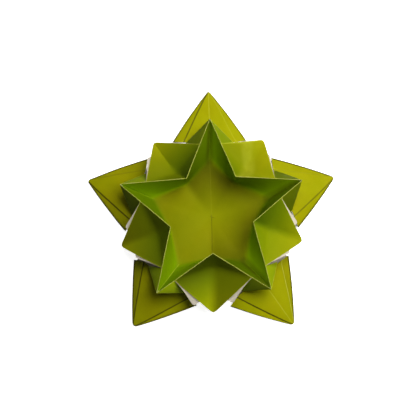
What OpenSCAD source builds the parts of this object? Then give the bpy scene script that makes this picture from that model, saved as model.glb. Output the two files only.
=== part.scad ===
// Five-pointed star dish folded from paper.
// A star-shaped cup with a flat folded floor stands on a flat base. Five petals lean out
// from the rim between the arms, and five flat points lie under the arms.
// Every panel between two creases is a solid of its own, and the points and petals
// hinge on their creases. The star's centre on the table is the origin, +Z is up,
// and arm 1 lies along +Y.

/* [Paper] */
// Thickness of a folded panel, layers pressed together
sheet = 0.25; // [0.15:0.05:0.35]
// Margin kept between a panel's edge and a fixed crease
margin = 0.2; // [0.15:0.05:0.3]
// Margin kept between a panel's edge and a crease that works as a hinge
hinge_margin = 0.4; // [0.35:0.05:0.6]

/* [Star cup] */
// Distance from the centre to the tip of the floor
floor_tip_r = 33; // [30:0.5:35]
// Height of the floor at its tips
floor_tip_z = 4; // [3:0.25:5]
// Distance from the centre to the floor's notches, between the arms
floor_notch_r = 24.5; // [23:0.5:26]
// Height of the floor's centre
floor_centre_z = 1; // [0.75:0.05:1.5]
// Distance from the centre to the rim at an arm's tip
rim_tip_r = 53; // [50:0.5:55]
// Height of the rim at an arm's tip
rim_tip_z = 16.5; // [14:0.5:18]
// Distance from the centre to the rim's notches
rim_notch_r = 23.5; // [22:0.5:25]
// Height of the rim at its notches
rim_notch_z = 17.5; // [15:0.5:19]
// Distance along the arm to where the petal's side edge comes out from under the rim
rim_meet_along = 39.6; // [38.6:0.2:41.4]

/* [Petals] */
// Distance from the centre to a petal's tip
petal_tip_r = 53; // [48:0.5:55]
// Height of a petal's tip
petal_tip_z = 8.2; // [7.5:0.1:12]
// Distance from the centre to the low end of the crease that a petal hinges on
petal_fold_r = 31; // [29:0.5:33]
// Height of that end of the crease, where the steep foot turns into the flatter petal
petal_fold_z = 10; // [9:0.25:12]

/* [Braces] */
// Distance along the arm to a brace's foot, which stands over the point
foot_along = 43; // [42.6:0.2:43.4]
// Distance of a brace's foot from the arm's middle
foot_side = 13.4; // [12.6:0.2:14.2]
// Gap between a brace's foot and the point's top sheet
foot_gap = 0.6; // [0.5:0.1:1]

/* [Points] */
// Distance from the centre to a point's tip
point_tip_r = 75; // [70:0.5:80]
// Distance along the arm from the centre to the point's corners
corner_along = 44.8; // [43:0.2:46]
// Half the width of a point across its corners
corner_side = 21.4; // [20:0.2:22]
// Height of a point's top sheet at its corners
corner_z = 1.6; // [1.2:0.1:2.2]
// Distance along the arm to the crease ends on the raw edge
crease_along = 43.6; // [43:0.2:44]
// Distance of the crease ends from the arm's middle
crease_side = 15.4; // [14.6:0.2:16.4]
// Height of the top sheet at the crease ends
crease_z = 4.4; // [4:0.2:5]
// Distance from the centre to the base sheet's inner notches
base_notch_r = 18.6; // [16:0.2:22]

/* [Hidden] */
ARMS = 5;
STEP = 360 / ARMS;
HALF = STEP / 2;
FIRST = 90;

// ---- Points in the frame of one arm: +X along the arm, left side at +Y ----
function polar(r, angle, z) = [r * cos(angle), r * sin(angle), z];
function turned(p, angle) =
    [p.x * cos(angle) - p.y * sin(angle), p.x * sin(angle) + p.y * cos(angle), p.z];
function mirrored(p) = [p.x, -p.y, p.z];
function flat(p) = [p.x, p.y];
function unit(v) = v / norm(v);

centre = [0, 0, floor_centre_z];
floor_tip = [floor_tip_r, 0, floor_tip_z];
// Each fifth of the floor is one flat kite, so its notches lie in the plane of its tip
floor_notch = polar(
    floor_notch_r, HALF,
    floor_centre_z
        + (floor_tip_z - floor_centre_z) * floor_notch_r * cos(HALF) / floor_tip_r
);
rim_tip = [rim_tip_r, 0, rim_tip_z];
rim_notch = polar(rim_notch_r, HALF, rim_notch_z);

// The point's top sheet rests on its lining at the tip
face_tip = [point_tip_r, 0, 1.8 * sheet];
corner = [corner_along, corner_side, corner_z];
crease_end = [crease_along, crease_side, crease_z];
// The brace's foot stands just above the point's top sheet
brace_foot = [foot_along, foot_side, crease_z + foot_gap];

// The raw edge of the point's sheet runs on up the brace and meets the rim here
rim_meet = rim_tip
    + (rim_notch - rim_tip) * (rim_tip.x - rim_meet_along) / (rim_tip.x - rim_notch.x);

// ---- Points in the frame of one petal: +X along the petal ----
petal_notch = turned(rim_notch, -HALF);
petal_side = turned(rim_meet, HALF - STEP);
petal_fold = [petal_fold_r, 0, petal_fold_z];
petal_tip = [petal_tip_r, 0, petal_tip_z];

// ---- Building blocks ----
// A flat panel of paper. Its outline runs anticlockwise seen from its upper side, and
// margins holds how far each edge draws back, the first edge from point 0 to point 1
module panel(outline, margins) {
    count = len(outline);
    upper = unit(cross(outline[1] - outline[0], outline[2] - outline[0]));
    drawn = [
        for (i = [0:count - 1])
            let (
                ahead = unit(outline[(i + 1) % count] - outline[i]),
                back = unit(outline[(i + count - 1) % count] - outline[i]),
                spread = norm(cross(ahead, back))
            )
            outline[i] + (ahead * margins[(i + count - 1) % count] + back * margins[i]) / spread
    ];
    polyhedron(
        points = concat(
            [for (p = drawn) p + upper * sheet / 2],
            [for (p = drawn) p - upper * sheet / 2]
        ),
        faces = concat(
            [[for (i = [0:count - 1]) count - 1 - i]],
            [[for (i = [0:count - 1]) count + i]],
            [for (i = [0:count - 1]) [i, (i + 1) % count, count + (i + 1) % count, count + i]]
        )
    );
}

module at_arm(i) rotate([0, 0, FIRST + STEP * (i - 1)]) children();
module at_petal(i) rotate([0, 0, FIRST + HALF + STEP * (i - 1)]) children();
module both_sides() {
    children();
    mirror([0, 1, 0]) children();
}

// ---- The cup ----
module floor_kite(i) color("olive") at_arm(i)
    panel(
        [centre, mirrored(floor_notch), floor_tip, floor_notch],
        [margin, margin, margin, margin]
    );

// A wall leans out towards the arm's tip and stands upright at the notch
module wall_panels() {
    panel([floor_tip, rim_tip, rim_notch], [margin, margin, 0]);
    panel([floor_tip, rim_notch, floor_notch], [0, margin, margin]);
}

module wall_left(i) color("olivedrab") at_arm(i) wall_panels();

module wall_right(i) color("olivedrab") at_arm(i) mirror([0, 1, 0]) wall_panels();

// A brace folds down from the rim to its foot, and back under to the floor's tip
module brace_panels() {
    panel([rim_tip, brace_foot, rim_meet], [0, margin, margin]);
    panel([rim_tip, floor_tip, brace_foot], [margin, margin, 0]);
}

module brace_left(i) color("yellowgreen") at_arm(i) brace_panels();

module brace_right(i) color("yellowgreen") at_arm(i) mirror([0, 1, 0]) brace_panels();

// ---- The flat base, whose sheets end between the points ----
module base_sheet(i) color("darkolivegreen") at_arm(i) both_sides()
    linear_extrude(sheet)
        polygon([
            [0, 0],
            [corner_along - hinge_margin, 0],
            [corner_along - hinge_margin, corner_side - 2 * hinge_margin],
            flat(polar(base_notch_r, HALF, 0))
        ]);

// ---- Petals ----
module petal_foot(i) color("olivedrab") at_petal(i) both_sides()
    panel([petal_notch, petal_fold, mirrored(petal_side)], [0, hinge_margin, margin]);

module petal(i) color("yellowgreen") at_petal(i) both_sides()
    panel([petal_fold, petal_tip, mirrored(petal_side)], [0, 0, hinge_margin]);

// ---- Points ----
module point_face(i) color("gold") at_arm(i)
    panel([face_tip, crease_end, mirrored(crease_end)], [margin, 0, margin]);

module fold_panel() panel([face_tip, corner, crease_end], [0, 0, margin]);

module point_left_fold(i) color("gold") at_arm(i) fold_panel();

module point_right_fold(i) color("gold") at_arm(i) mirror([0, 1, 0]) fold_panel();

module point_lining(i) color("khaki") at_arm(i) linear_extrude(sheet)
    polygon([
        [point_tip_r, 0],
        [corner_along + hinge_margin, corner_side - hinge_margin],
        [corner_along + hinge_margin, hinge_margin - corner_side]
    ]);

floor_kite(1);  // floor_1
floor_kite(2);  // floor_2
floor_kite(3);  // floor_3
floor_kite(4);  // floor_4
floor_kite(5);  // floor_5
wall_left(1);  // wall_1_left
wall_left(2);  // wall_2_left
wall_left(3);  // wall_3_left
wall_left(4);  // wall_4_left
wall_left(5);  // wall_5_left
wall_right(1);  // wall_1_right
wall_right(2);  // wall_2_right
wall_right(3);  // wall_3_right
wall_right(4);  // wall_4_right
wall_right(5);  // wall_5_right
brace_left(1);  // brace_1_left
brace_left(2);  // brace_2_left
brace_left(3);  // brace_3_left
brace_left(4);  // brace_4_left
brace_left(5);  // brace_5_left
brace_right(1);  // brace_1_right
brace_right(2);  // brace_2_right
brace_right(3);  // brace_3_right
brace_right(4);  // brace_4_right
brace_right(5);  // brace_5_right
base_sheet(1);  // base_1
base_sheet(2);  // base_2
base_sheet(3);  // base_3
base_sheet(4);  // base_4
base_sheet(5);  // base_5
petal_foot(1);  // petal_foot_1
petal_foot(2);  // petal_foot_2
petal_foot(3);  // petal_foot_3
petal_foot(4);  // petal_foot_4
petal_foot(5);  // petal_foot_5
petal(1);  // petal_1
petal(2);  // petal_2
petal(3);  // petal_3
petal(4);  // petal_4
petal(5);  // petal_5
point_face(1);  // point_face_1
point_face(2);  // point_face_2
point_face(3);  // point_face_3
point_face(4);  // point_face_4
point_face(5);  // point_face_5
point_left_fold(1);  // point_1_left_fold
point_left_fold(2);  // point_2_left_fold
point_left_fold(3);  // point_3_left_fold
point_left_fold(4);  // point_4_left_fold
point_left_fold(5);  // point_5_left_fold
point_right_fold(1);  // point_1_right_fold
point_right_fold(2);  // point_2_right_fold
point_right_fold(3);  // point_3_right_fold
point_right_fold(4);  // point_4_right_fold
point_right_fold(5);  // point_5_right_fold
point_lining(1);  // point_lining_1
point_lining(2);  // point_lining_2
point_lining(3);  // point_lining_3
point_lining(4);  // point_lining_4
point_lining(5);  // point_lining_5
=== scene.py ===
import math

import bmesh
import bpy
from mathutils import Matrix, Vector, noise
from mathutils.geometry import intersect_point_line


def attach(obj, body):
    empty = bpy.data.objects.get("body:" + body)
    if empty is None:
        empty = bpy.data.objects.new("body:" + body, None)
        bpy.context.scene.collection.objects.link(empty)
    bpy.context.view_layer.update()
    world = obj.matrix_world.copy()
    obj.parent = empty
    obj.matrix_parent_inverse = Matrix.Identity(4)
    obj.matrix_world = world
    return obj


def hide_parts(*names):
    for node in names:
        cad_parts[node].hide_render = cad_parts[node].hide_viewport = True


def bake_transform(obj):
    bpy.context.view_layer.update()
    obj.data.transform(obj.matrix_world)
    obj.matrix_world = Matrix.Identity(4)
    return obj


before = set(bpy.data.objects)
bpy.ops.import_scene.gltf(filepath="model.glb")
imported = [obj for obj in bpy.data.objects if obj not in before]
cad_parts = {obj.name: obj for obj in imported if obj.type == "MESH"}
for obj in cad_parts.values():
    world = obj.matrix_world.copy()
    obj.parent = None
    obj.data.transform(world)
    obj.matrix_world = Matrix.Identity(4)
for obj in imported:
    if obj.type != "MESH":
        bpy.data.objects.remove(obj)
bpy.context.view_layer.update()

MM = 0.001
ARMS = (1, 2, 3, 4, 5)
STEP = math.radians(72)
HALF = STEP / 2
FIRST = math.radians(90)
SIDES = {"left": 1, "right": -1}

# ---------------------------------------------------------------- the star's own sizes, in mm
PAPER = 0.2              # thickness of a sheet, the pressed layers together
FLOOR_CENTRE_Z = 1.0
FLOOR_TIP = (33.0, 4.0)  # distance from the centre, height
FLOOR_NOTCH = (24.5, 2.8)
RIM_TIP = (53.0, 16.4)
RIM_NOTCH = (23.5, 17.3)
PETAL_TIP = (53.0, 8.2)
PETAL_FOLD = (31.0, 10.0)
POINT_TIP = (74.7, 0.5)
CORNER = (44.8, 21.4, 1.6)        # along the arm, to its side, height
CREASE_END = (43.6, 15.4, 4.4)
BRACE_FOOT = (43.0, 13.4, 5.0)
BASE_NOTCH = 18.6

# ---------------------------------------------------------------- how each fold came out by hand
# Offsets in mm from the sizes above: (along the arm, to its left)
TIP_OFF = {1: (2.6, 0.1), 2: (0.1, 0.1), 3: (0.8, -0.6), 4: (1.1, -0.6), 5: (0.9, -0.85)}
RIM_OFF = {1: (0.6, 0.2), 2: (0.1, 0.2), 3: (0.5, 0.9), 4: (-0.2, -0.8), 5: (-0.1, 0.6)}
FLOOR_OFF = {1: (0.1, 0.5), 2: (1.8, -0.1), 3: (0.8, 0.5), 4: (-1.2, -1.0), 5: (0.4, -0.5)}
# (along the arm, outwards) for the left side and then the right side of each arm
CORNER_OFF = {1: ((0.6, 0.0), (0.7, -0.4)), 2: ((-0.3, 0.2), (0.7, 0.6)),
              3: ((0.7, -0.3), (0.0, 0.2)), 4: ((-1.2, -0.6), (1.3, 0.7)),
              5: ((-0.3, 0.4), (-0.2, 0.1))}
CREASE_OFF = {1: ((0.3, 0.0), (-0.1, -0.4)), 2: ((-0.8, 0.4), (0.3, -0.3)),
              3: ((0.6, 0.6), (-0.6, 0.9)), 4: ((-0.2, -0.3), (0.8, 1.5)),
              5: ((-1.2, -0.9), (0.4, 0.1))}
FOOT_OFF = {1: ((0.1, 0.8), (0.1, 0.1)), 2: ((-0.6, 0.4), (0.1, -0.5)),
            3: ((0.5, 0.0), (0.4, -0.6)), 4: ((-0.2, -0.2), (0.2, -0.2)),
            5: ((-0.4, 0.3), (-0.3, 0.2))}
# Share of the way from the rim's tip to its notch at which a petal's edge starts
MEET = {1: (0.433, 0.438), 2: (0.405, 0.394), 3: (0.317, 0.373), 4: (0.344, 0.335),
        5: (0.409, 0.436)}
# Offsets in the frame of each petal: (along it, to its left), and the fold's also (up)
NOTCH_OFF = {1: (-0.3, 0.2), 2: (0.8, 0.8), 3: (-0.4, -0.4), 4: (-0.7, 0.7), 5: (-0.2, 0.6)}
PETAL_OFF = {1: (0.85, 1.05), 2: (0.65, 0.35), 3: (1.75, -0.55), 4: (-0.4, 0.2), 5: (0.25, 0.8)}
FOLD_OFF = {1: (0.0, 2.2, 0.3), 2: (1.0, 0.5, 0.0), 3: (-1.5, 0.0, 0.0), 4: (1.5, 0.8, 0.0),
            5: (0.5, -0.5, 0.5)}

# ---------------------------------------------------------------- the view
PIXEL_MM = 0.572         # size of a photo pixel at the star's centre
FRAME_PX = 420
CENTRE_PX = (211.8, 217.6)
CAMERA_AWAY = 600 * PIXEL_MM
TILT = math.radians(12.0)
TURN = math.radians(8.3)
ROLL = math.radians(-7.05)


# ================================================================ points
def polar(r, angle, z):
    """A point at distance r in direction angle from the centre, where 0 is along +X."""
    return Vector((r * math.cos(angle), r * math.sin(angle), z))


def arm_angle(i):
    return FIRST + STEP * (i - 1)


def turned(p, angle):
    return Matrix.Rotation(angle, 3, "Z") @ p


def mirrored(p):
    return Vector((p.x, -p.y, p.z))


def on_middle(place, z, off):
    """A point on an arm's middle line, moved by its offset."""
    return Vector((place + off[0], off[1], z))


def beside(place, off):
    """A point on an arm's left side, moved by its offset."""
    return Vector((place[0] + off[0], place[1] + off[1], place[2]))


def notch_of(i, radius, z):
    """A notch to the left of arm i, in the star's frame."""
    p = Vector((radius + NOTCH_OFF[i][0], NOTCH_OFF[i][1], z))
    return turned(p, arm_angle(i) + HALF)


def arm_points(i, side):
    """The named corners of one half of arm i, in the arm's own frame."""
    hand = 0 if side > 0 else 1
    flip = (lambda p: p) if side > 0 else mirrored
    left_arm = i if side > 0 else (i - 2) % 5 + 1
    here = -arm_angle(i)
    pts = {
        "centre": Vector((0, 0, FLOOR_CENTRE_Z)),
        "floor_tip": on_middle(FLOOR_TIP[0], FLOOR_TIP[1], FLOOR_OFF[i]),
        "rim_tip": on_middle(RIM_TIP[0], RIM_TIP[1], RIM_OFF[i]),
        "point_tip": on_middle(POINT_TIP[0], POINT_TIP[1], TIP_OFF[i]),
        "floor_notch": turned(notch_of(left_arm, *FLOOR_NOTCH), here),
        "rim_notch": turned(notch_of(left_arm, *RIM_NOTCH), here),
        "corner": flip(beside(CORNER, CORNER_OFF[i][hand])),
        "crease_end": flip(beside(CREASE_END, CREASE_OFF[i][hand])),
        "brace_foot": flip(beside(BRACE_FOOT, FOOT_OFF[i][hand])),
    }
    pts["rim_meet"] = pts["rim_tip"].lerp(pts["rim_notch"], MEET[i][hand])
    return pts


POINTS = {(i, side): arm_points(i, side) for i in ARMS for side in (1, -1)}


def placed(name, i, side):
    """A named corner of arm i, on its left side (+1) or right side (-1), in the star's frame."""
    return turned(POINTS[i, side][name], arm_angle(i))


# ================================================================ sheets of paper
# How a panel is painted: how green it is (painted bounce light; 0 is the leaf colour), how bright
# it is (painted light and shade)
PLAIN = (0.0, 1.0)


class Sheet:
    """A sheet of paper under construction: patches in mm, merged where they meet."""

    def __init__(self):
        self.verts = []
        self.faces = []
        self.paint = []
        self.wear_and_highlight = []
        self.shade = []
        self.soft = []

    def triangle(self, a, b, c, cuts, bulge=0.0, grade=1.0, paint=PLAIN, near=None):
        """A flat panel cut into a triangular grid, whose rows crowd towards corner a by grade.
        bulge lifts its middle along its normal, in mm. near is the paint at corner a."""
        up = (b - a).cross(c - a).normalized()
        first = len(self.verts)
        index = {}
        at_a = near or paint
        for row in range(cuts + 1):
            reach = (row / cuts) ** grade
            for k in range(row + 1):
                u = reach * k / row if row else 0.0
                v = reach * (row - k) / row if row else 0.0
                index[row, k] = first + len(index)
                lift = 27 * u * v * (1 - u - v) * bulge    # 27 makes this 1 at the middle
                self.verts.append(a + (b - a) * u + (c - a) * v + up * lift)
                self.paint.append(tuple(p + (q - p) * reach for p, q in zip(at_a, paint)))
        for row in range(cuts):
            for k in range(row + 1):
                self.faces.append((index[row, k], index[row + 1, k + 1], index[row + 1, k]))
                if k < row:
                    self.faces.append((index[row, k], index[row, k + 1], index[row + 1, k + 1]))

    def patch(self, a, b, c, d, across, along, bulge=0.0, grade=1.0, paint=PLAIN):
        """A ruled panel a-b-c-d: across cuts from a to b, along cuts from a to d, and bulge
        and grade as in a triangle."""
        up = (b - a).cross(d - a).normalized()
        first = len(self.verts)
        for j in range(along + 1):
            for k in range(across + 1):
                u, v = k / across, (j / along) ** grade
                lift = 16 * u * (1 - u) * v * (1 - v) * bulge    # and here 16 does
                self.verts.append(a.lerp(b, u).lerp(d.lerp(c, u), v) + up * lift)
                self.paint.append(paint)
        row = across + 1
        for j in range(along):
            for k in range(across):
                n = first + j * row + k
                self.faces.append((n, n + 1, n + row + 1, n + row))

    def crease(self, a, b, wear_and_highlight=0.0, shade=0.0, amount=1.0, soft=0.0):
        """Marks a fold: the half widths in mm of its pale line (wear, and painted highlight where
        the fold catches the light) and of its dark line (painted shade), and amount how strong the
        line is. soft is how far from it the fold is rounded."""
        if wear_and_highlight:
            self.wear_and_highlight.append((a, b, wear_and_highlight, amount))
        if shade:
            self.shade.append((a, b, shade, amount))
        if soft:
            self.soft.append((a, b, soft, amount))


FAR = 50.0   # stands for a distance that no line reaches


def nearest(point, lines):
    """Distance from a point to the nearest line, in that line's own half width, and its amount."""
    best = (FAR, 0.0)
    for a, b, width, amount in lines:
        on_line, share = intersect_point_line(point, a, b)
        on_line = a if share < 0 else b if share > 1 else on_line
        best = min(best, ((point - on_line).length / width, amount))
    return best


WAVE = 0.16          # how far hand folding leaves a panel from flat, in mm
WAVE_LENGTH = 13.0
WAVE_SEED = 5
noise.seed_set(WAVE_SEED)    # the same waves each run


def waved(p, amount):
    """A gentle waviness that is the same for every sheet at one place."""
    return p + noise.noise_vector(p / WAVE_LENGTH) * amount


ROUND_STEPS = 5      # how often the vertices near a soft fold move, and how far each time
ROUND_PULL = 0.6


def round_folds(bm, lines, layer):
    """Rounds the soft folds: vertices near them move towards the middle of their neighbours."""
    near = []
    for v in bm.verts:
        if v.is_boundary:
            continue
        share = max(0.0, 1.0 - nearest(v.co, lines)[0])
        if share:
            near.append((v, share))
    for _ in range(ROUND_STEPS):
        moved = []
        for v, share in near:
            others = [e.other_vert(v) for e in v.link_edges]
            middle = sum((o.co for o in others), Vector()) / len(others)
            paint = [sum(o[layer[w]] for o in others) / len(others) for w in ("green", "tone")]
            moved.append((v.co.lerp(middle, ROUND_PULL * share), paint))
        for (v, share), (place, paint) in zip(near, moved):
            v.co = place
            for word, value in zip(("green", "tone"), paint):
                v[layer[word]] += (value - v[layer[word]]) * ROUND_PULL * share


def average_paint(bm, layer):
    """Gives vertices at one place the mean of their colours, so that panels blend evenly."""
    shared = {}
    for v in bm.verts:
        shared.setdefault(tuple(round(c, 1) for c in v.co), []).append(v)
    for group in shared.values():
        for word in ("green", "tone"):
            mean = sum(v[layer[word]] for v in group) / len(group)
            for v in group:
                v[layer[word]] = mean


ATTRIBUTES = ("green", "tone", "wear_and_highlight", "wear_and_highlight_amount", "shade", "shade_amount")
MERGE = 0.02         # vertices this close are one, in mm
ON_LINE = 0.15       # a vertex this close to a marked fold lies on it, in the line's half width
SMOOTH_BELOW = math.radians(40.0)
FACE, BACK, CUT = 0, 1, 2    # the places of a sheet's three materials


def make_paper(name, sheet, angle=0.0, wave=WAVE, thickness=PAPER, warp=None):
    """Gives the sheet its thickness: a green face, a pale reverse and cut edges.
    The sheet is drawn at angle 0, and warp moves its vertices before it is turned."""
    bm = bmesh.new()
    layer = {word: bm.verts.layers.float.new(word) for word in ATTRIBUTES}
    for place, (green, tone) in zip(sheet.verts, sheet.paint):
        v = bm.verts.new(place)
        v[layer["green"]], v[layer["tone"]] = green, tone
    bm.verts.ensure_lookup_table()
    for f in sheet.faces:
        bm.faces.new([bm.verts[i] for i in f])
    average_paint(bm, layer)
    bmesh.ops.remove_doubles(bm, verts=bm.verts, dist=MERGE)
    on_fold = {}
    for v in bm.verts:
        v[layer["wear_and_highlight"]], v[layer["wear_and_highlight_amount"]] = nearest(v.co, sheet.wear_and_highlight)
        v[layer["shade"]], v[layer["shade_amount"]] = nearest(v.co, sheet.shade)
        on_fold[v] = min(v[layer["wear_and_highlight"]], v[layer["shade"]]) < ON_LINE
    crisp = [e for e in bm.edges if on_fold[e.verts[0]] and on_fold[e.verts[1]]]
    if sheet.soft:
        round_folds(bm, sheet.soft, layer)
    for v in bm.verts:
        place = warp(v.co) if warp else v.co
        v.co = waved(turned(place, angle), wave)
    bm.normal_update()
    faces = list(bm.faces)
    border = [e for e in bm.edges if e.is_boundary]
    back = {}
    for v in list(bm.verts):
        twin = bm.verts.new(v.co - v.normal * thickness)
        for word in ATTRIBUTES:
            twin[layer[word]] = v[layer[word]]
        back[v] = twin
    for f in faces:
        made = bm.faces.new([back[v] for v in reversed(f.verts)])
        made.material_index = BACK
    for e in border:
        loop = e.link_loops[0]
        a, b = loop.vert, loop.link_loop_next.vert
        made = bm.faces.new((b, a, back[a], back[b]))
        made.material_index = CUT
    for v in bm.verts:
        v.co *= MM
    bm.normal_update()
    for e in bm.edges:
        e.smooth = len(e.link_faces) == 2 and e.calc_face_angle(0.0) < SMOOTH_BELOW
    for e in crisp:
        e.smooth = False
    for f in bm.faces:
        f.smooth = True
    mesh = bpy.data.meshes.new(name)
    bm.to_mesh(mesh)
    bm.free()
    for material in (GREEN, REVERSE, EDGE):
        mesh.materials.append(material)
    piece = bpy.data.objects.new(name, mesh)
    bpy.context.scene.collection.objects.link(piece)
    return piece


# ================================================================ materials
class Nodes:
    """Short names for building a material's nodes."""

    def __init__(self, name):
        self.material = bpy.data.materials.new(name)
        self.material.use_nodes = True
        self.tree = self.material.node_tree
        self.shader = self.tree.nodes["Principled BSDF"]

    def add(self, kind, **settings):
        made = self.tree.nodes.new(kind)
        for key, value in settings.items():
            setattr(made, key, value)
        return made

    def link(self, a, b):
        self.tree.links.new(a, b)

    def noise(self, scale, detail, roughness, stretch=None):
        """Noise over the object's own coordinates; scale is in waves per metre."""
        place = self.add("ShaderNodeTexCoord").outputs["Object"]
        if stretch:
            mapping = self.add("ShaderNodeMapping")
            mapping.inputs["Scale"].default_value = stretch
            self.link(place, mapping.inputs["Vector"])
            place = mapping.outputs["Vector"]
        made = self.add("ShaderNodeTexNoise")
        made.inputs["Scale"].default_value = scale
        made.inputs["Detail"].default_value = detail
        made.inputs["Roughness"].default_value = roughness
        self.link(place, made.inputs["Vector"])
        return made.outputs["Fac"]

    def spread(self, value, low, high, to_low=0.0, to_high=1.0):
        """Maps low..high smoothly onto to_low..to_high."""
        made = self.add("ShaderNodeMapRange", interpolation_type="SMOOTHSTEP")
        self.link(value, made.inputs["Value"])
        made.inputs["From Min"].default_value = low
        made.inputs["From Max"].default_value = high
        made.inputs["To Min"].default_value = to_low
        made.inputs["To Max"].default_value = to_high
        return made.outputs["Result"]

    def math(self, operation, a, b):
        made = self.add("ShaderNodeMath", operation=operation)
        for socket, value in zip(made.inputs, (a, b)):
            if isinstance(value, (int, float)):
                socket.default_value = value
            else:
                self.link(value, socket)
        return made.outputs["Value"]

    def mix(self, share, a, b):
        """A colour that goes from a to b as share goes from 0 to 1."""
        made = self.add("ShaderNodeMix", data_type="RGBA")
        sockets = (made.inputs[0], made.inputs[6], made.inputs[7])
        for socket, value in zip(sockets, (share, a, b)):
            if isinstance(value, tuple):
                socket.default_value = (*value, 1.0)
            elif isinstance(value, (int, float)):
                socket.default_value = value
            else:
                self.link(value, socket)
        return made.outputs[2]

    def attribute(self, name):
        return self.add("ShaderNodeAttribute", attribute_name=name).outputs["Fac"]

    def scaled(self, colour, amount):
        """A colour made darker or brighter by a value."""
        made = self.add("ShaderNodeVectorMath", operation="SCALE")
        self.link(colour, made.inputs[0])
        self.link(amount, made.inputs["Scale"])
        return made.outputs[0]

    def line(self, name, low, high):
        """How much of the marked line shows: its own strength at its middle, 0 at its edge."""
        inside = self.spread(self.attribute(name), low, high, 1.0, 0.0)
        return self.math("MULTIPLY", inside, self.attribute(name + "_amount"))

    def bump(self, height, distance, strength, below=None):
        """A bump of the given height in metres, on top of the bump below."""
        made = self.add("ShaderNodeBump")
        made.inputs["Distance"].default_value = distance
        made.inputs["Strength"].default_value = strength
        self.link(height, made.inputs["Height"])
        if below:
            self.link(below, made.inputs["Normal"])
        return made.outputs["Normal"]


# Colours, in linear light
LEAF = (0.340, 0.350, 0.0006)
# LEAF_GREEN is painted bounce light: the green of light bounced inside the folds
LEAF_GREEN = (0.205, 0.350, 0.0004)
LEAF_WARM = (0.375, 0.330, 0.0008)
LEAF_DEEP = (0.260, 0.280, 0.0004)
# Along the folds: FOLD_PALE for pale lines of wear and painted highlight, FOLD_DARK for painted
# shade
FOLD_PALE = (0.58, 0.61, 0.05)
FOLD_DARK = (0.050, 0.047, 0.002)
CREAM = (0.66, 0.62, 0.52)
CREAM_DARK = (0.56, 0.51, 0.42)
CUT_EDGE = (0.44, 0.49, 0.05)
CUT_EDGE_PALE = (0.55, 0.58, 0.16)
TABLE_GREY = (0.86, 0.86, 0.86)
TABLE_WHITE = (0.90, 0.90, 0.90)


def fibres(n, depth):
    """The fine tooth of the paper over its longer fibres, over a slow cockle."""
    tooth = n.noise(scale=2600, detail=4.0, roughness=0.6)
    fibre = n.noise(scale=900, detail=3.0, roughness=0.55, stretch=(1.0, 0.28, 1.0))
    cockle = n.noise(scale=120, detail=2.0, roughness=0.5)
    normal = n.bump(tooth, distance=0.00006, strength=depth)
    normal = n.bump(fibre, distance=0.00008, strength=depth, below=normal)
    return n.bump(cockle, distance=0.0004, strength=0.35 * depth, below=normal)


# How strongly the green varies: warm clouds, deep mottling and fine deep specks
CLOUD, MOTTLE, SPECK = 0.5, 0.32, 0.22


def green_paper():
    """Dyed paper: its colour varies with noise, with each panel's painted light, shade and bounce
    green, and along its folds with pale wear, painted highlight and painted shade.
    """
    n = Nodes("paper_green_face")
    mottle = n.spread(n.noise(scale=95, detail=3.0, roughness=0.6), low=0.35, high=0.68)
    cloud = n.spread(n.noise(scale=38, detail=2.0, roughness=0.5), low=0.38, high=0.66)
    speck = n.spread(n.noise(scale=1500, detail=2.0, roughness=0.6), low=0.42, high=0.75)
    colour = n.mix(n.math("MULTIPLY", cloud, CLOUD), LEAF, LEAF_WARM)
    colour = n.mix(n.math("MULTIPLY", mottle, MOTTLE), colour, LEAF_DEEP)
    colour = n.mix(n.math("MULTIPLY", speck, SPECK), colour, LEAF_DEEP)
    # Painted bounce light: greener where light bounced inside a fold
    colour = n.mix(n.attribute("green"), colour, LEAF_GREEN)
    # Painted light and shade: each panel's tone
    colour = n.scaled(colour, n.attribute("tone"))
    # Pale lines along the folds, broken up by noise: wear, and painted highlight where a fold
    # catches the light
    line_breakup = n.noise(scale=240, detail=2.0, roughness=0.5)
    broken = n.spread(line_breakup, low=0.25, high=0.6, to_low=0.6, to_high=1.0)
    pale = n.math("MULTIPLY", n.line("wear_and_highlight", low=0.35, high=1.0), broken)
    # Painted shade along the folds, then the pale lines over it
    colour = n.mix(n.line("shade", low=0.25, high=1.0), colour, FOLD_DARK)
    colour = n.mix(pale, colour, FOLD_PALE)
    rough = n.spread(mottle, low=0.0, high=1.0, to_low=0.52, to_high=0.66)
    n.link(colour, n.shader.inputs["Base Color"])
    n.link(rough, n.shader.inputs["Roughness"])
    n.shader.inputs["Specular IOR Level"].default_value = 0.02
    n.link(fibres(n, depth=0.4), n.shader.inputs["Normal"])
    return n.material


def reverse_paper():
    """The undyed side of the paper."""
    n = Nodes("paper_white_reverse")
    mottle = n.spread(n.noise(scale=140, detail=3.0, roughness=0.6), low=0.35, high=0.7)
    colour = n.mix(n.math("MULTIPLY", mottle, 0.6), CREAM, CREAM_DARK)
    rough = n.spread(mottle, low=0.0, high=1.0, to_low=0.7, to_high=0.85)
    n.link(colour, n.shader.inputs["Base Color"])
    n.link(rough, n.shader.inputs["Roughness"])
    n.shader.inputs["Specular IOR Level"].default_value = 0.2
    n.link(fibres(n, depth=0.7), n.shader.inputs["Normal"])
    return n.material


def cut_edge():
    """The cut or folded edge, where the pale core of the paper shows through the dye."""
    n = Nodes("paper_cut_edge")
    ragged = n.spread(n.noise(scale=1800, detail=2.0, roughness=0.6), low=0.35, high=0.7)
    rough = n.spread(ragged, low=0.0, high=1.0, to_low=0.75, to_high=0.9)
    n.link(n.mix(ragged, CUT_EDGE, CUT_EDGE_PALE), n.shader.inputs["Base Color"])
    n.link(rough, n.shader.inputs["Roughness"])
    n.shader.inputs["Specular IOR Level"].default_value = 0.1
    n.link(fibres(n, depth=0.8), n.shader.inputs["Normal"])
    return n.material


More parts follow.
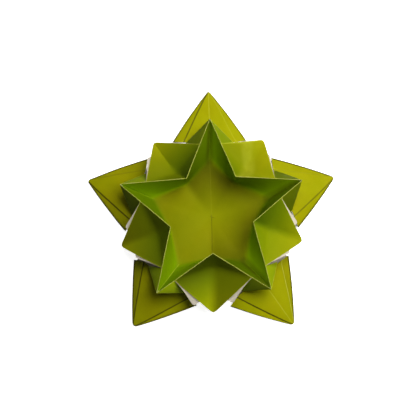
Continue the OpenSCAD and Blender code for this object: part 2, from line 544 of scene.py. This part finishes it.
def table_top():
    """A pale floor that glows a little, so that it comes out as white as the photo's."""
    n = Nodes("table_white")
    cloud = n.noise(scale=6, detail=2.0, roughness=0.5)
    n.link(n.mix(cloud, TABLE_GREY, TABLE_WHITE), n.shader.inputs["Base Color"])
    n.shader.inputs["Roughness"].default_value = 0.8
    n.shader.inputs["Emission Color"].default_value = (1.0, 1.0, 1.0, 1.0)
    n.shader.inputs["Emission Strength"].default_value = 0.85
    return n.material


GREEN = green_paper()
REVERSE = reverse_paper()
EDGE = cut_edge()


# ================================================================ pieces
# Tone of the panels, arm by arm and petal by petal: painted light and shade, brighter where
# light falls or pools in a fold and darker in shaded folds and pockets. One value, or one for
# the left side and one for the right
# Green and tone at the floor's centre; the tone falls from here towards each arm's tip as painted
# shadow of the walls
FLOOR_MIDDLE = (0.15, 0.84)
FLOOR_TONE = {1: 0.30, 2: 0.64, 3: 0.64, 4: 0.40, 5: 0.42}
WALL_TONE = {1: (0.48, 1.3), 2: (0.5, 1.3), 3: (0.66, 0.82), 4: (1.35, 0.36), 5: (1.1, 0.4)}
BRACE_TONE = {1: (0.58, 0.75), 2: (0.34, 0.75), 3: (1.45, 0.9), 4: (1.0, 0.8), 5: (0.4, 0.45)}
FOOT_TONE = {1: (0.26, 0.14), 2: (0.18, 0.28), 3: (0.24, 0.12), 4: (0.28, 0.6), 5: (0.46, 0.54)}
FLAP_TONE = {1: (0.88, 1.0), 2: (0.6, 0.36), 3: (0.6, 1.3), 4: (1.03, 0.97), 5: (0.98, 1.0)}
# Share of the flap's tone at the crease between a petal's foot and its flap, where the painted
# shade of the foot gives way to the flap's tone
CREASE_SHARE = {1: (0.4, 0.22), 2: (0.3, 0.35), 3: (0.5, 0.16), 4: (0.32, 0.5), 5: (0.45, 0.5)}
# How green the panels are: painted bounce light, since two or three bounces of light inside a fold
# take the yellow out
FLOOR_GREEN, WALL_GREEN, BRACE_GREEN = 0.12, 1.05, 0.65
FOOT_GREEN = {1: (0.7, 1.0), 2: (0.9, 0.75), 3: (0.85, 0.8), 4: (1.1, 0.85), 5: (0.8, 0.4)}
FLAP_GREEN = {1: 0.0, 2: 0.1, 3: 0.22, 4: 0.18, 5: 0.0}


def one_way(side, *corners):
    """Keeps a panel's upper side up on both halves: the right half is walked backwards."""
    return corners if side > 0 else (corners[0], *reversed(corners[1:]))


# How far the fold between floor and wall is rounded on the left and right of each arm, in mm
VALLEY_SOFT = {1: (2.0, 4.5), 2: (2.0, 1.5), 3: (1.5, 1.5), 4: (4.5, 3.0), 5: (4.5, 4.5)}
# Strength of the light line along the valley to an arm's tip. The others' valleys get a wide band
# of painted shade
ARM_VALLEY = {2: 0.1, 3: 0.4}
# The pinch of creases at the floor's centre, drawn as thin lines of painted shade: (direction in
# degrees, length)
PINCH = ((150, 2.2), (340, 1.6), (262, 2.0), (95, 2.4))


def make_cup():
    """The star-shaped cup: its floor and the walls up to the rim are one sheet."""
    sheet = Sheet()
    for i in ARMS:
        for hand, side in enumerate(SIDES.values()):
            centre, floor_tip, floor_notch, rim_tip, rim_notch = (
                placed(name, i, side)
                for name in ("centre", "floor_tip", "floor_notch", "rim_tip", "rim_notch"))
            sheet.triangle(*one_way(side, centre, floor_tip, floor_notch), cuts=18, bulge=0.25,
                           paint=(FLOOR_GREEN, FLOOR_TONE[i]), near=FLOOR_MIDDLE)
            wall = (floor_tip, rim_tip, rim_notch, floor_notch)
            sheet.patch(*(wall if side > 0 else reversed(wall)), across=16, along=18, bulge=0.5,
                        paint=(WALL_GREEN, WALL_TONE[i][hand]))
            sheet.crease(rim_tip, rim_notch, wear_and_highlight=0.22, amount=0.5)
            sheet.crease(floor_tip, floor_notch, soft=VALLEY_SOFT[i][hand])
        if i in ARM_VALLEY:
            sheet.crease(floor_tip, rim_tip, wear_and_highlight=0.3, amount=ARM_VALLEY[i])
        else:
            # a wide band of painted shade down the valley
            sheet.crease(floor_tip, rim_tip, shade=4.0, amount=0.4)
        sheet.crease(centre, floor_tip, soft=3.5)
        sheet.crease(centre, floor_notch, soft=3.5)
    sheet.crease(centre, placed("floor_tip", 1, 1), wear_and_highlight=0.25, amount=0.12)
    sheet.crease(centre, placed("floor_notch", 3, 1), shade=0.3, amount=0.55)
    for direction, length in PINCH:
        end = polar(length, math.radians(direction), FLOOR_CENTRE_Z)
        sheet.crease(centre, end, shade=0.3, amount=0.5)
    piece = make_paper("cup_paper", sheet)
    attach(piece, "cup")
    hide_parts(*[f"floor_{i}" for i in ARMS])
    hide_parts(*[f"wall_{i}_{s}" for i in ARMS for s in SIDES])


# Strength of the pale line on the fold that runs down to each brace's foot (left, right): wear, and
# painted highlight on the ridge
BRACE_RIDGE = {1: (0.1, 0.8), 2: (0.05, 0.6), 3: (0.7, 0.5), 4: (0.8, 0.05), 5: (0.15, 0.1)}
BRACE_PAPER = 0.15   # thickness of its sheet
BRACE_TUCK = (0.4, 0.3, -0.3)    # from the floor's tip to its lower end


def make_brace(i, word, side):
    """The panel that folds down from the rim beside an arm's tip, and back under it."""
    rim_tip, foot, meet, floor_tip = (
        POINTS[i, side][n] for n in ("rim_tip", "brace_foot", "rim_meet", "floor_tip"))
    under = floor_tip + Vector((BRACE_TUCK[0], side * BRACE_TUCK[1], BRACE_TUCK[2]))
    hand = 0 if side > 0 else 1
    paint = (BRACE_GREEN, BRACE_TONE[i][hand])
    sheet = Sheet()
    sheet.triangle(*one_way(side, rim_tip, foot, meet), cuts=12, bulge=0.3, paint=paint)
    sheet.triangle(*one_way(-side, rim_tip, foot, under), cuts=12, paint=paint)
    sheet.crease(rim_tip, foot, wear_and_highlight=0.4, amount=BRACE_RIDGE[i][hand])
    sheet.crease(rim_tip, meet, wear_and_highlight=0.2, amount=0.5)
    sheet.crease(foot, meet, wear_and_highlight=0.25, amount=0.5)
    piece = make_paper(f"brace_paper_{i}_{word}", sheet, arm_angle(i), thickness=BRACE_PAPER)
    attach(piece, "cup")
    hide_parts(f"brace_{i}_{word}")


BLUNT_PULL = 0.75    # share of its way past the cut by which a vertex is drawn back


def blunt(p, tip, cut):
    """Draws back a vertex within cut of a sharp tip, so that the tip comes out rounded."""
    past = cut - (tip.x - p.x)
    return p - Vector((past * BLUNT_PULL, 0, 0)) if past > 0 else p


# Width in mm of the white strip that shows beside a petal's edge, on the left and the right
# of each arm, and its outline: (share of the petal's edge, share of that width)
LINING = {1: (0.5, 0.25), 2: (1.9, 1.9), 3: (3.4, 1.4), 4: (1.3, 2.8), 5: (0.9, 2.2)}
LINING_OUTLINE = ((0.0, 0.05), (0.12, 0.14), (0.24, 0.3), (0.36, 0.55), (0.48, 0.85),
                  (0.56, 1.0), (0.6, 0.9), (0.63, 0.0))
LINING_TUCK = 1.3        # how far it goes in under the petal, where it has its full depth
LINING_TUCK_RUN = 5      # how steeply it gets there along the edge
LINING_BELOW = 0.3       # how far it lies below the petal's edge
LINING_FALL = 0.3        # how far it falls for each mm outwards
LINING_DIP = 0.1         # how much lower its inner edge lies
LINING_PAPER = 0.12      # thickness of its sheet


def make_lining(i, edges, tip, angle):
    """The white layer under a petal, which peeks out beside both of its edges."""
    sheet = Sheet()
    width = {-1: LINING[i][0], 1: LINING[i % 5 + 1][1]}
    for side in SIDES.values():
        run = tip - edges[side]
        out = Vector((-run.y, run.x, 0)).normalized() * side
        inner, outer = [], []
        for share, part in LINING_OUTLINE:
            place = edges[side] + run * share - Vector((0, 0, LINING_BELOW))
            reach = width[side] * part
            tuck = LINING_TUCK * min(1.0, share * LINING_TUCK_RUN)
            inner.append(place - out * tuck - Vector((0, 0, LINING_DIP)))
            outer.append(place + out * reach - Vector((0, 0, LINING_FALL * reach)))
        for a, b, c, d in zip(inner, outer, outer[1:], inner[1:]):
            if side > 0:
                sheet.patch(a, d, c, b, across=2, along=4)
            else:
                sheet.patch(a, b, c, d, across=4, along=2)
    piece = make_paper(f"petal_lining_{i}", sheet, angle, thickness=LINING_PAPER)
    piece.data.materials[FACE] = REVERSE
    return piece


PETAL_SOFT = {1: 0.0, 2: 1.5, 3: 4.0, 4: 1.0, 5: 5.0}    # how far its middle fold is rounded
PETAL_BLUNT = 0.8    # how far back its tip is rounded
# A soft band of painted highlight across a petal, where its paper curls towards the light: the
# shares of its left edge, of its fold and of the rim at which the band runs, half its width in mm
# and its strength
PETAL_HIGHLIGHT_BAND = {5: (0.6, 0.15, 0.23, 5.0, 0.17)}


def make_petal(i):
    """A petal: its steep foot runs down outside the rim, and its flatter flap bends there."""
    angle = arm_angle(i) + HALF
    after = i % 5 + 1
    notch = turned(placed("rim_notch", i, 1), -angle)
    edges = {-1: turned(placed("rim_meet", i, 1), -angle),
             1: turned(placed("rim_meet", after, -1), -angle)}
    fold = Vector((PETAL_FOLD[0], 0, PETAL_FOLD[1])) + Vector(FOLD_OFF[i])
    tip = Vector((PETAL_TIP[0] + PETAL_OFF[i][0], PETAL_OFF[i][1], PETAL_TIP[1]))
    sheet = Sheet()
    for hand, side in enumerate(SIDES.values()):
        edge = edges[side]
        foot_paint = (FOOT_GREEN[i][hand], FOOT_TONE[i][hand])
        flap_paint = (FLAP_GREEN[i], FLAP_TONE[i][hand])
        share = CREASE_SHARE[i][hand]
        between = tuple(a + (b - a) * share for a, b in zip(foot_paint, flap_paint))
        sheet.triangle(*one_way(side, notch, fold, edge), cuts=14, bulge=0.2, paint=between,
                       near=foot_paint)
        sheet.triangle(*one_way(side, tip, edge, fold), cuts=14, bulge=0.3, paint=between,
                       near=flap_paint)
        sheet.crease(notch, edge, wear_and_highlight=0.25, amount=0.4)
        sheet.crease(edge, tip, wear_and_highlight=0.3, amount=0.45)
        sheet.crease(fold, edge, soft=5.0)
    if PETAL_SOFT[i]:
        sheet.crease(fold, tip, soft=PETAL_SOFT[i])
        sheet.crease(notch, fold, soft=PETAL_SOFT[i])
    if i in PETAL_HIGHLIGHT_BAND:
        on_edge, on_fold, on_rim, width, amount = PETAL_HIGHLIGHT_BAND[i]
        middle = fold.lerp(edges[-1], on_fold)
        sheet.crease(edges[1].lerp(tip, on_edge), middle, wear_and_highlight=width, amount=amount)
        sheet.crease(middle, notch.lerp(edges[-1], on_rim), wear_and_highlight=width, amount=amount)
    piece = make_paper(f"petal_paper_{i}", sheet, angle, warp=lambda p: blunt(p, tip, PETAL_BLUNT))
    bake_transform(piece)
    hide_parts(f"petal_foot_{i}", f"petal_{i}")
    lining = make_lining(i, edges, tip, angle)
    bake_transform(lining)


# The creases on each point, left and right of its middle: (strength of the pale line, strength of
# the painted shade in its groove)
POINT_SIDES = {1: ((0.1, 0.85), (0.25, 0.0)), 2: ((0.0, 0.95), (0.05, 0.25)),
               3: ((0.0, 0.85), (0.0, 0.8)), 4: ((0.75, 0.35), (0.0, 0.95)),
               5: ((0.1, 0.1), (0.05, 0.6))}
# Strength of the light line along its middle
POINT_MIDDLE = {1: 0.4, 2: 0.0, 3: 0.0, 4: 0.4, 5: 0.0}
# How dark the painted shade on the rolled outer edges is, left and right
POINT_OUTLINE = {1: (0.7, 0.65), 2: (0.65, 0.95), 3: (0.5, 0.85), 4: (0.85, 0.0), 5: (1.0, 0.7)}
POINT_BLUNT = {1: 0.9, 2: 0.9, 3: 1.4, 4: 1.2, 5: 1.0}    # how far back its tip is rounded
# Green and tone of each point: painted light and shade, brighter on the points nearer the lamp
POINT_PAINT = {1: (0.0, 1.04), 2: (0.0, 0.88), 3: (0.0, 0.82), 4: (0.06, 1.06), 5: (0.0, 0.98)}
# How bright its folded sides are beside its middle, left and right: painted light and shade
SIDE_TONE = {1: (1.1, 0.95), 2: (1.15, 0.97), 3: (1.45, 0.92), 4: (0.82, 1.5), 5: (0.94, 1.05)}
POINT_PAPER = 0.15   # thickness of its sheet
POINT_WAVE = 0.08    # a flat fold waves less than the other panels
POINT_CUTS = 18
POINT_GRADE = 1.5    # how much its rows crowd towards the tip
MIDDLE_RISE = 0.3    # how much higher than its creases the middle of its raw edge stands
UNDER_Z = 0.02       # height of its under sheet
EDGE_ROLL = (0.25, 0.35)     # how far its long edges roll outwards: along the arm, to its side
TIP_ROLL = 0.2
EDGE_BOW = 0.55      # how far its long edges bow out at their middle
BOW_FADE = 4.0       # and how far in from them the bow is felt


def make_point(i):
    """A point: an envelope of one sheet folded round its two long edges."""
    sheet = Sheet()
    tip = POINTS[i, 1]["point_tip"]
    paint = POINT_PAINT[i]
    middle = Vector((CREASE_END[0], 0, CREASE_END[2] + MIDDLE_RISE))
    low_middle = Vector((CORNER[0], 0, UNDER_Z))
    low_tip = Vector((tip.x, tip.y, UNDER_Z))
    grid = {"cuts": POINT_CUTS, "grade": POINT_GRADE}
    for hand, side in enumerate(SIDES.values()):
        corner, crease_end = POINTS[i, side]["corner"], POINTS[i, side]["crease_end"]
        low_corner = Vector((corner.x, corner.y, UNDER_Z))
        roll = Vector((EDGE_ROLL[0], side * EDGE_ROLL[1], 0))
        half_tip = (tip + low_tip) / 2 + Vector((TIP_ROLL, 0, 0))
        half_corner = (corner + low_corner) / 2 + roll
        sheet.triangle(*one_way(side, tip, crease_end, middle), bulge=0.15, paint=paint, **grid)
        side_paint = (paint[0], paint[1] * SIDE_TONE[i][hand])
        sheet.triangle(*one_way(side, tip, corner, crease_end), bulge=0.1, paint=side_paint, **grid)
        for a, b, c, d in ((half_tip, tip, corner, half_corner),
                           (low_tip, half_tip, half_corner, low_corner)):
            strip = (b, a, d, c) if side > 0 else (a, b, c, d)
            sheet.patch(*strip, across=1, along=POINT_CUTS, grade=POINT_GRADE, paint=paint)
        sheet.triangle(*one_way(-side, low_tip, low_corner, low_middle), paint=paint, **grid)
        wear_and_highlight, shade = POINT_SIDES[i][hand]
        sheet.crease(tip, crease_end, wear_and_highlight=0.3, amount=wear_and_highlight)
        sheet.crease(tip, crease_end, shade=0.62, amount=shade)
        sheet.crease(tip, corner, shade=1.0, amount=POINT_OUTLINE[i][hand])
        sheet.crease(crease_end, corner, wear_and_highlight=0.25, amount=0.4)
    if POINT_MIDDLE[i]:
        sheet.crease(tip, middle, wear_and_highlight=0.3, amount=POINT_MIDDLE[i])

    def warp(p):
        """Bows the long edges outwards and rounds the tip."""
        side = 1 if p.y > 0 else -1
        corner = POINTS[i, side]["corner"]
        run = Vector((corner.x - tip.x, corner.y - tip.y, 0))
        along = Vector((p.x - tip.x, p.y - tip.y, 0))
        share = max(0.0, min(1.0, along.dot(run) / run.length_squared))
        away = (along - run * share).length
        outward = Vector((-run.y, run.x, 0)).normalized() * -side
        p = p + outward * EDGE_BOW * 4 * share * (1 - share) * math.exp(-away / BOW_FADE)
        return blunt(p, tip, POINT_BLUNT[i])

    piece = make_paper(f"point_paper_{i}", sheet, arm_angle(i), wave=POINT_WAVE,
                       thickness=POINT_PAPER, warp=warp)
    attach(piece, f"point_{i}")
    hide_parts(f"point_face_{i}", f"point_{i}_left_fold", f"point_{i}_right_fold")
    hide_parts(f"point_lining_{i}")


BASE_PAPER = 0.18        # thickness of its sheets
BASE_Z = 0.2             # height of its upper side
BASE_INSET = (0.3, 0.5)  # how far it stays in from a point's corner: along the arm, to its side


def make_base():
    """The flat sheets under the cup, white side up."""
    sheet = Sheet()
    end, half_width = CORNER[0] - BASE_INSET[0], CORNER[1] - BASE_INSET[1]
    for i in ARMS:
        for side in SIDES.values():
            corners = (Vector((0, 0, BASE_Z)), Vector((end, 0, BASE_Z)),
                       Vector((end, side * half_width, BASE_Z)),
                       polar(BASE_NOTCH, side * HALF, BASE_Z))
            a, b, c, d = (turned(p, arm_angle(i)) for p in corners)
            sheet.triangle(*one_way(side, a, b, c), cuts=8)
            sheet.triangle(*one_way(side, a, c, d), cuts=8)
    piece = make_paper("base_paper", sheet, wave=0.0, thickness=BASE_PAPER)
    piece.data.materials[FACE], piece.data.materials[BACK] = REVERSE, GREEN
    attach(piece, "cup")
    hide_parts(*[f"base_{i}" for i in ARMS])


# ================================================================ camera, table and light
def make_camera():
    """The photo's view: almost straight down, with the star's centre at its place in the frame."""
    roll, tilt, turn = (Matrix.Rotation(angle, 3, axis)
                        for angle, axis in ((ROLL, "Z"), (-TILT, "X"), (TURN, "Z")))
    view = roll @ tilt @ turn
    world = view.transposed().to_4x4()
    world.translation = view.transposed() @ Vector((0, 0, CAMERA_AWAY * MM))
    data = bpy.data.cameras.new("camera")
    data.lens = data.sensor_width * CAMERA_AWAY / (FRAME_PX * PIXEL_MM)
    data.shift_x = (FRAME_PX / 2 - CENTRE_PX[0]) / FRAME_PX
    data.shift_y = (CENTRE_PX[1] - FRAME_PX / 2) / FRAME_PX
    data.clip_start = 0.01
    camera = bpy.data.objects.new("camera", data)
    camera.matrix_world = world
    bpy.context.scene.collection.objects.link(camera)
    bpy.context.scene.camera = camera


TABLE_RADIUS = 1.6       # metres
TABLE_WALL = 1.6
TABLE_Z = -0.0002


def make_table():
    """A round pale floor with a plain wall round it, so that low views have no dark horizon."""
    bm = bmesh.new()
    rim = bmesh.ops.create_circle(bm, cap_ends=True, radius=TABLE_RADIUS, segments=64)["verts"]
    edges = [e for e in bm.edges if e.verts[0] in rim and e.verts[1] in rim]
    raised = bmesh.ops.extrude_edge_only(bm, edges=edges)["geom"]
    for v in (g for g in raised if isinstance(g, bmesh.types.BMVert)):
        v.co.z = TABLE_WALL
    mesh = bpy.data.meshes.new("table")
    bm.to_mesh(mesh)
    bm.free()
    mesh.materials.append(table_top())
    table = bpy.data.objects.new("table", mesh)
    table.location.z = TABLE_Z
    table.visible_diffuse = False      # the photo's outer panels get no light back from the table
    bpy.context.scene.collection.objects.link(table)


def make_light(name, azimuth, elevation, away, size, power, colour):
    """A square soft light that looks at the star: angles in degrees, sizes in metres."""
    data = bpy.data.lights.new(name, "AREA")
    data.size = size
    data.energy = power
    data.color = colour
    lamp = bpy.data.objects.new(name, data)
    a, e = math.radians(azimuth), math.radians(elevation)
    place = Vector((math.cos(e) * math.cos(a), math.cos(e) * math.sin(a), math.sin(e))) * away
    lamp.location = place
    lamp.rotation_euler = place.to_track_quat("Z", "Y").to_euler()
    bpy.context.scene.collection.objects.link(lamp)


WORLD_BELOW = 0.26       # strength of the surroundings' light from below, and from above
WORLD_ABOVE = 0.04
WORLD_STEEP = -0.5       # height of a direction, from -1 to 1, at which it is full from below


def make_world():
    """Dim all round, and a little brighter from below, where a pale room would send light back."""
    world = bpy.data.worlds.new("studio")
    world.use_nodes = True
    tree = world.node_tree
    back = tree.nodes["Background"]
    back.inputs["Color"].default_value = (0.95, 1.0, 0.97, 1.0)
    direction = tree.nodes.new("ShaderNodeTexCoord").outputs["Generated"]
    parts = tree.nodes.new("ShaderNodeSeparateXYZ")
    tree.links.new(direction, parts.inputs["Vector"])
    height = tree.nodes.new("ShaderNodeMapRange")
    height.inputs["From Min"].default_value = WORLD_STEEP
    height.inputs["From Max"].default_value = 0.0
    height.inputs["To Min"].default_value = WORLD_BELOW
    height.inputs["To Max"].default_value = WORLD_ABOVE
    tree.links.new(parts.outputs["Z"], height.inputs["Value"])
    tree.links.new(height.outputs["Result"], back.inputs["Strength"])
    bpy.context.scene.world = world


make_camera()
make_table()
make_world()
make_light("key", azimuth=36, elevation=58, away=0.37, size=0.34, power=1.95,
           colour=(1.0, 0.96, 0.90))
make_light("fill", azimuth=115, elevation=62, away=0.80, size=0.40, power=0.5,
           colour=(1.0, 0.98, 0.92))
make_cup()
for arm in ARMS:
    for word, side in SIDES.items():
        make_brace(arm, word, side)
    make_petal(arm)
    make_point(arm)
make_base()

bpy.context.scene.view_settings.view_transform = "Standard"
